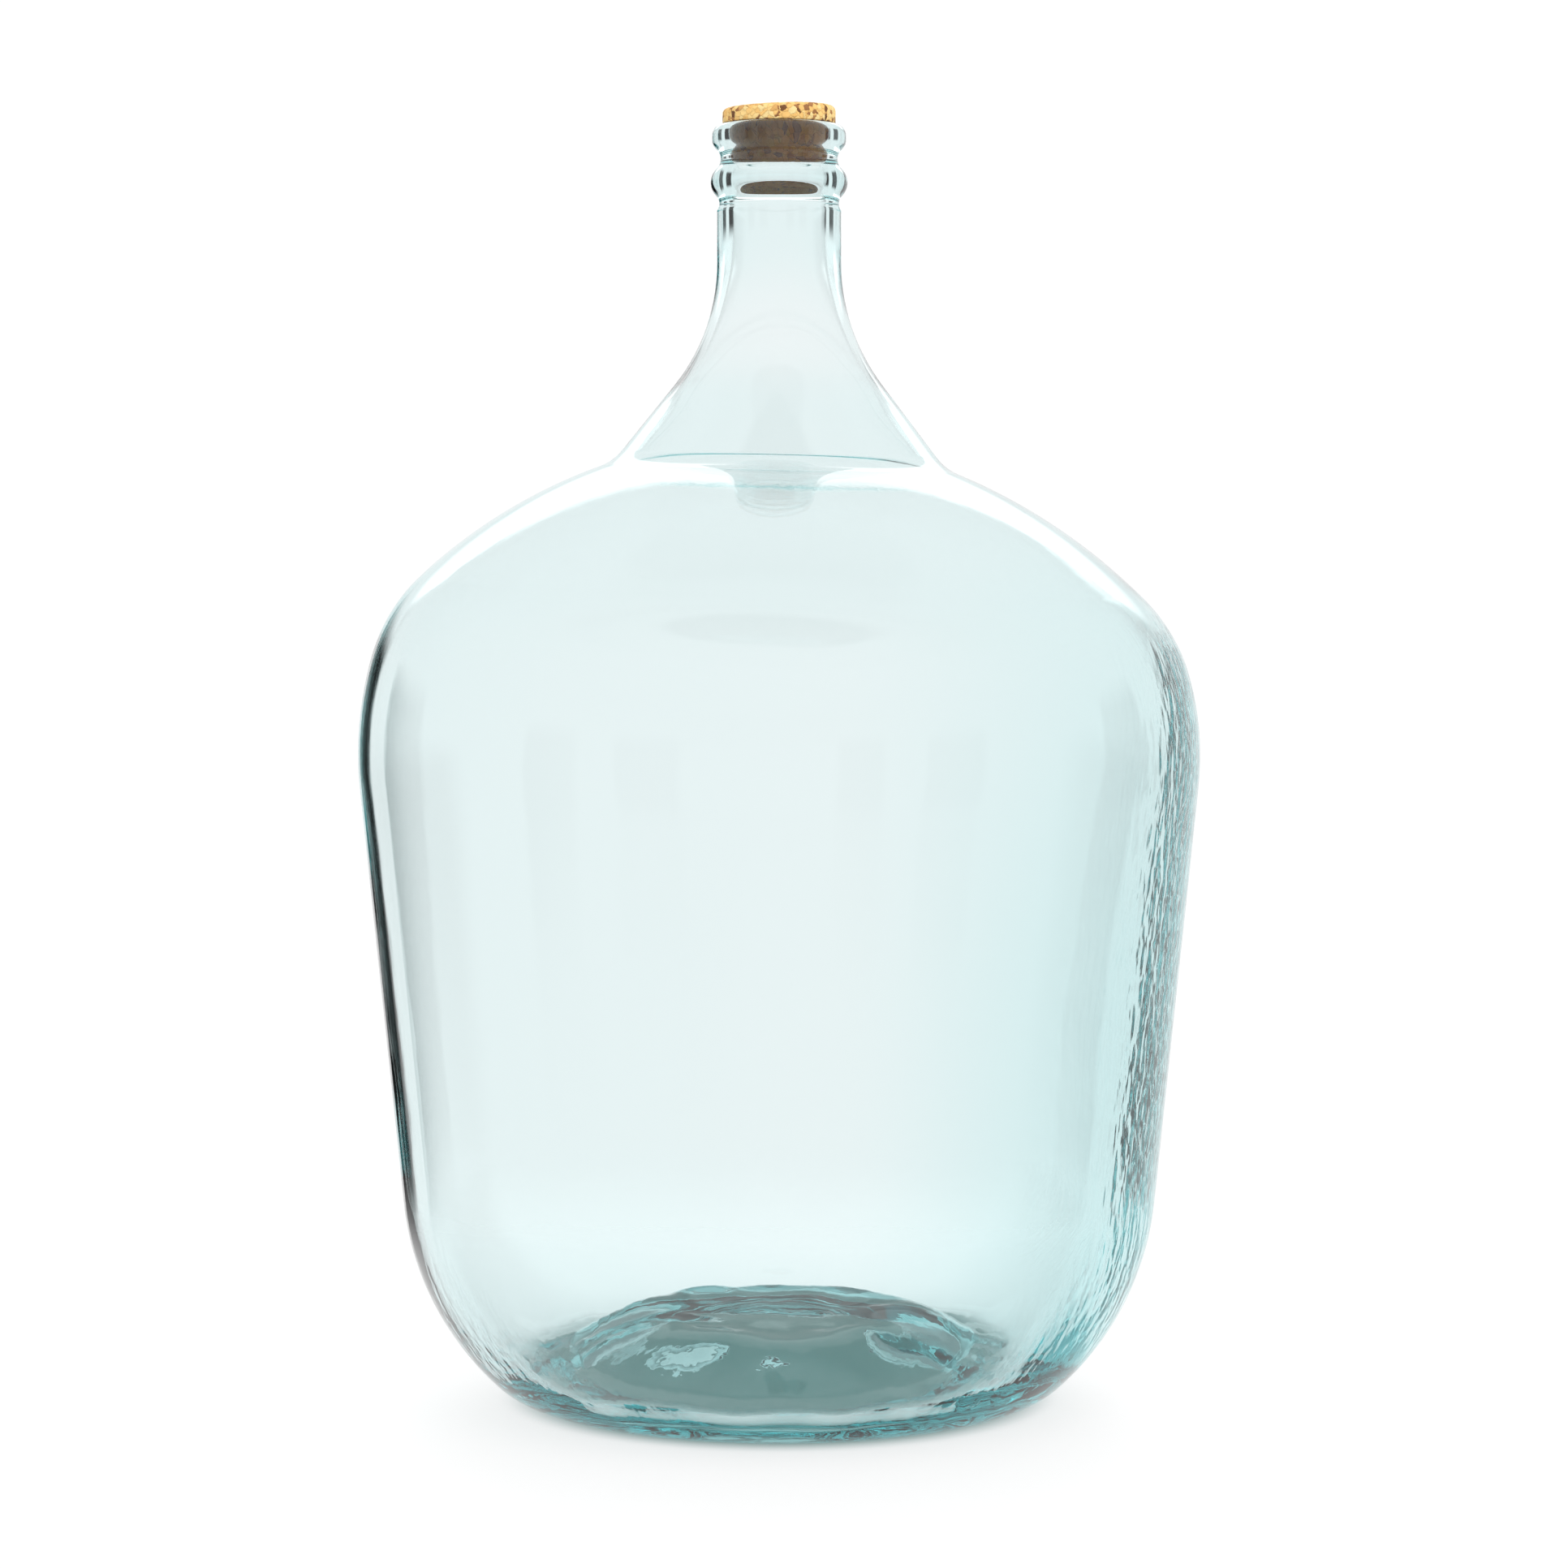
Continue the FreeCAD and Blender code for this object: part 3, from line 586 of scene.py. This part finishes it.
# %% Draw the cork's section from the foot of the shank to the top
shank_foot, cap_radius = cork_low.z, cork_high.x
taper = (mouth - bore_end.x) / (lip - bore_end.y)
clearance = 0.3 * MM
shank_top_radius = mouth - clearance
shank_foot_radius = shank_top_radius - taper * (lip - shank_foot)
foot_edge, under_edge, cap_edge = 1.5 * MM, 0.6 * MM, 2.6 * MM
cap_top = cork_high.z
cork_section = (
    line(Vector((0, shank_foot)), Vector((shank_foot_radius - foot_edge, shank_foot)), 16)
    + arc(Vector((shank_foot_radius - foot_edge, shank_foot + foot_edge)),
          Vector((shank_foot_radius - foot_edge, shank_foot)),
          Vector((shank_foot_radius, shank_foot + foot_edge)), 4)
    + line(Vector((shank_foot_radius, shank_foot + foot_edge)), Vector((shank_top_radius, lip)), 20)
    + line(Vector((shank_top_radius, lip)), Vector((cap_radius - under_edge, lip)), 10)
    + arc(Vector((cap_radius - under_edge, lip + under_edge)), Vector((cap_radius - under_edge, lip)),
          Vector((cap_radius, lip + under_edge)), 4)
    + line(Vector((cap_radius, lip + under_edge)), Vector((cap_radius, cap_top - cap_edge)), 8)
    + arc(Vector((cap_radius - cap_edge, cap_top - cap_edge)), Vector((cap_radius, cap_top - cap_edge)),
          Vector((cap_radius - cap_edge, cap_top)), 8)
    + line(Vector((cap_radius - cap_edge, cap_top)), Vector((0, cap_top)), 30)
    + [Vector((0, cap_top))]
)
print("cork section:", len(cork_section), "points")

# %% The tree of the cork: a worn, pitted surface and a cap cut a little aslant
cork_tree, given, turned, _ = open_turned_tree("crumbled cork", ["Crumble", "Slant", "Seed"])
place = cork_tree.nodes.new("GeometryNodeInputPosition").outputs[0]
axes = put(cork_tree, "ShaderNodeSeparateXYZ", Vector=place).outputs
top_share = ramp(cork_tree, axes[2], lip + 2 * MM, cap_top)
aslant = maths(cork_tree, "MULTIPLY", ramp(cork_tree, axes[0], 0.9 * cap_radius, -cap_radius),
               maths(cork_tree, "MULTIPLY", given["Slant"], top_share))
drop = put(cork_tree, "ShaderNodeCombineXYZ", Z=maths(cork_tree, "MULTIPLY", aslant, -1.0)).outputs[0]
turned = shifted(cork_tree, turned, drop)
noise = put(cork_tree, "ShaderNodeTexNoise", {"noise_dimensions": "4D"}, Vector=place, W=given["Seed"],
            Scale=500.0, Detail=2.0)
pit = maths(cork_tree, "MULTIPLY", ramp(cork_tree, noise.outputs[0], 0.5, 0.68), given["Crumble"])
normal = cork_tree.nodes.new("GeometryNodeInputNormal").outputs[0]
inward = put(cork_tree, "ShaderNodeVectorMath", {"operation": "SCALE"}, i0=normal,
             Scale=maths(cork_tree, "MULTIPLY", pit, -1.0))
close_turned_tree(cork_tree, given, shifted(cork_tree, turned, inward.outputs[0]))

# %% Make the cork
cork_turns = 240
stopper = turn_piece("turned_cork", cork_section, len(cork_section), cork_tree, cork_turns,
                     {"Crumble": 0.35 * MM, "Slant": 1.2 * MM, "Seed": 5.0}, cork)
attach(stopper, "stopper")
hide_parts("cork_stopper")

# %% [markdown]
# ## Floor and light
# Clear glass is lit by what stands round it.  A white sweep fills the background, and dark flags
# beside it draw the edges of the glass.  A pair of flags repeats every quarter of a turn, so that
# the bottle has dark edges from each side.  A soft light behind and above is mirrored in the domed
# shoulder, as the white band under the cone.  The floor under the bottle carries a painted shadow:
# its colour and glow are set dark aqua there, for the light that the bottle keeps from it.

# %% The floor
floor_mesh = bpy.data.meshes.new("floor")
half = 0.9
corners = [(-half, -half, 0), (half, -half, 0), (half, half, 0), (-half, half, 0)]
floor_mesh.from_pydata(corners, [], [(0, 1, 2, 3)])
floor = bpy.data.objects.new("floor", floor_mesh)
floor.location.z = -0.0004
bpy.context.scene.collection.objects.link(floor)
paper = bpy.data.materials.new("white_paper")
paper.use_nodes = True
tree = paper.node_tree
surface = tree.nodes["Principled BSDF"]
surface.inputs["Roughness"].default_value = 0.7
spot = put(tree, "ShaderNodeTexCoord").outputs["Object"]
away = put(tree, "ShaderNodeVectorMath", {"operation": "LENGTH"}, i0=spot).outputs["Value"]
tree.links.new(ramp(tree, away, 0.7, 0.15), surface.inputs["Alpha"])
# Painted shadow: under the bottle the floor's colour and glow are dark aqua, as if only light through the
# glass reached it.
open_floor = ramp(tree, away, 0.095, 0.125)
for socket, under, beside in (
    ("Base Color", (0.05, 0.14, 0.13, 1), (0.24, 0.24, 0.24, 1)),
    ("Emission Color", (0.05, 0.17, 0.16, 1), (1, 1, 1, 1)),
):
    painted_shadow = put(tree, "ShaderNodeMix", {"data_type": "RGBA"}, i0=open_floor, i6=under, i7=beside)
    tree.links.new(painted_shadow.outputs[2], surface.inputs[socket])
surface.inputs["Emission Strength"].default_value = 0.75
floor_mesh.materials.append(paper)
print("floor:", 2 * half, "m wide")

# %% The room of light round the bottle
world = bpy.data.worlds.new("studio")
bpy.context.scene.world = world
world.use_nodes = True
tree = world.node_tree
tree.nodes.clear()
way = put(tree, "ShaderNodeTexCoord").outputs["Generated"]
axes = put(tree, "ShaderNodeSeparateXYZ", Vector=way).outputs
azimuth = maths(tree, "ARCTAN2", axes[1], axes[0])
off_axis = maths(tree, "WRAP", maths(tree, "DEGREES", azimuth), 45.0, -45.0)
left_flag = product(tree, ramp(tree, off_axis, 15.5, 18.0), ramp(tree, off_axis, 34.5, 31.0))
right_flag = product(tree, ramp(tree, off_axis, -25.0, -28.0), ramp(tree, off_axis, -45.0, -44.0))
flags = maths(tree, "MAXIMUM", left_flag, right_flag)
near_eye_level = product(tree, ramp(tree, axes[2], 0.2, 0.08), ramp(tree, axes[2], -0.3, -0.2))
flags = product(tree, flags, near_eye_level)
ray = put(tree, "ShaderNodeLightPath").outputs
few_walls = maths(tree, "LESS_THAN", ray["Transmission Depth"], 2.5)
one_wall = product(tree, few_walls, ray["Is Transmission Ray"])
mirrored = product(tree, ramp(tree, axes[1], 0.4, 0.7), ramp(tree, axes[0], 0.1, -0.1),
                   ray["Is Reflection Ray"])
flag_share = product(tree, maths(tree, "MAXIMUM", one_wall, mirrored),
                     ramp(tree, axes[1], -0.6, -0.2, 0.6, 0.98))
dimmed = maths(tree, "SUBTRACT", 1.0, product(tree, flags, flag_share))

# %% The light behind and above, and the dim gap under it
sideways = maths(tree, "ABSOLUTE", axes[0])
slanted = maths(tree, "MULTIPLY_ADD", sideways, 1.1, axes[2])
behind = product(tree, ramp(tree, axes[1], 0.15, 0.3), ramp(tree, axes[2], 0.22, 0.34),
                 ramp(tree, sideways, 0.48, 0.40), ramp(tree, slanted, 0.86, 0.80))
bounced = maths(tree, "GREATER_THAN", ray["Glossy Depth"], 0.5)
both_walls = maths(tree, "GREATER_THAN", ray["Transmission Depth"], 3.5)
gap = product(tree, ramp(tree, axes[2], -0.1, 0.05), ramp(tree, axes[1], 0.2, 0.5),
              bounced, both_walls)
sweep_light, extra_light, gap_depth, backdrop_light = 0.95, 1.4, -0.7, 1.05
wide = maths(tree, "MULTIPLY_ADD", behind, extra_light, sweep_light)
wide = product(tree, wide, maths(tree, "MULTIPLY_ADD", gap, gap_depth, 1.0))
seen = product(tree, wide, dimmed)
strength = put(tree, "ShaderNodeMix", Factor=ray["Is Camera Ray"], A=seen, B=backdrop_light).outputs[0]
backdrop = put(tree, "ShaderNodeBackground", Color=(1, 1, 1, 1), Strength=strength)
put(tree, "ShaderNodeOutputWorld", Surface=backdrop.outputs[0])
print("world:", len(tree.nodes), "nodes")

# %% A soft box overhead
soft_data = bpy.data.lights.new("soft_box", "AREA")
soft_data.shape = "RECTANGLE"
soft_data.size, soft_data.size_y = 1.6, 1.6
soft_data.energy = 14.0
soft = bpy.data.objects.new("soft_box", soft_data)
soft.location = (0.8, -1.2, 2.0)
soft.rotation_euler = (Vector((0, 0, 0.3)) - soft.location).to_track_quat("-Z", "Y").to_euler()
soft.visible_glossy = False
soft.visible_transmission = False
bpy.context.scene.collection.objects.link(soft)

# %% Colours as they are, and enough bounces for four walls of glass
scene = bpy.context.scene
scene.view_settings.view_transform = "Standard"
scene.cycles.max_bounces = 40
scene.cycles.transmission_bounces = 32
scene.cycles.glossy_bounces = 32
scene.cycles.transparent_max_bounces = 24
scene.cycles.caustics_refractive = False
scene.cycles.caustics_reflective = False
